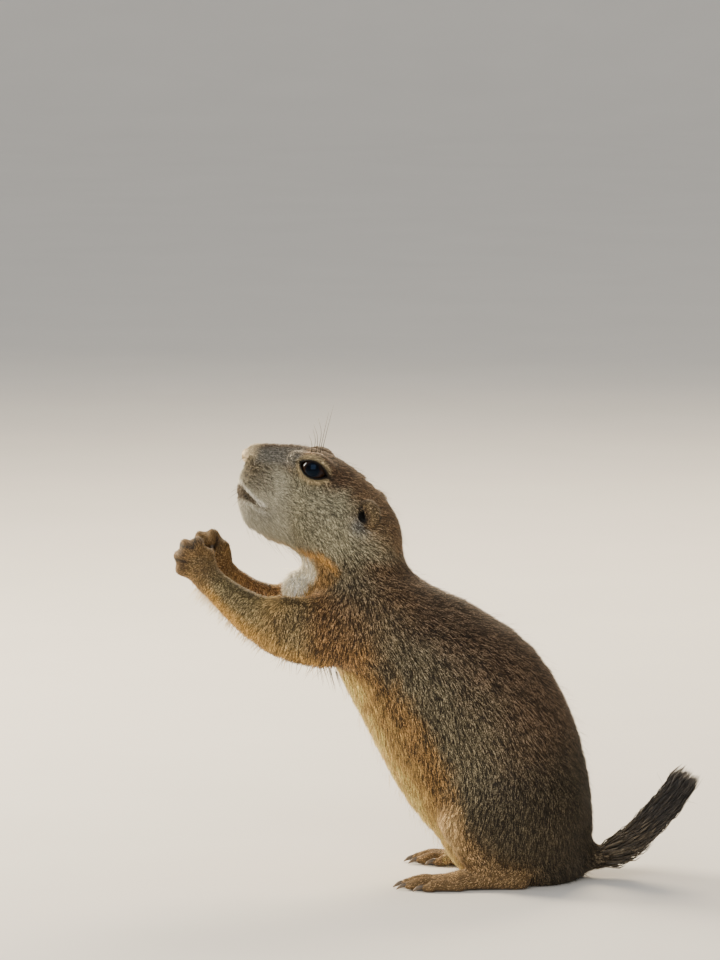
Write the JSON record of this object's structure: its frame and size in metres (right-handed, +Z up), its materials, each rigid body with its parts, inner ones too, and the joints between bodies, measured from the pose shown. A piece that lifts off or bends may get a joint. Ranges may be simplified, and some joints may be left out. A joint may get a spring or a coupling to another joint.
{
  "type": "prairie dog figure",
  "caption": "Life-size figure of a prairie dog sitting up on its haunches, head raised, forepaws held together, tail lying back on the floor with its dark tip lifted.",
  "frame": {"origin": "on the floor, on the flat that the rump sits on, in the plane that halves the body", "axes": "-X the way the nose points, -Y the animal's left side, +Z up, floor at z = 0"},
  "size_m": [0.2443, 0.0968, 0.2241],
  "materials": {
    "coat_head": "short grizzled grey-brown fur, paler on the muzzle",
    "coat_side": "short fur, grey-brown above and buff below",
    "coat_back": "short grizzled grey-brown fur",
    "coat_limb": "short buff-brown fur",
    "coat_tail": "longer dark brown to black fur",
    "nose_skin": "dark moist skin",
    "claw": "dark horn",
    "eye_glass": "polished, near black"
  },
  "bodies": {
    "root": {"head": "coat_head", "nose": "nose_skin", "neck": "coat_side", "chest": "coat_side", "abdomen": "coat_side", "rump": "coat_back", "tail": "coat_back", "tail_brush": "coat_tail", "eye_left": "eye_glass", "ear_left": "coat_back", "upper_arm_left": "coat_limb", "forearm_left": "coat_limb", "paw_left": "coat_limb", "thigh_left": "coat_back", "shank_left": "coat_limb", "foot_left": "coat_limb", "eye_right": "eye_glass", "ear_right": "coat_back", "upper_arm_right": "coat_limb", "forearm_right": "coat_limb", "paw_right": "coat_limb", "thigh_right": "coat_back", "shank_right": "coat_limb", "foot_right": "coat_limb", "paw_claw_left_1": "claw", "paw_claw_left_2": "claw", "paw_claw_left_3": "claw", "paw_claw_left_4": "claw", "paw_claw_right_1": "claw", "paw_claw_right_2": "claw", "paw_claw_right_3": "claw", "paw_claw_right_4": "claw", "foot_claw_left_1": "claw", "foot_claw_left_2": "claw", "foot_claw_left_3": "claw", "foot_claw_left_4": "claw", "foot_claw_left_5": "claw", "foot_claw_right_1": "claw", "foot_claw_right_2": "claw", "foot_claw_right_3": "claw", "foot_claw_right_4": "claw", "foot_claw_right_5": "claw"}
  },
  "joints": []
}
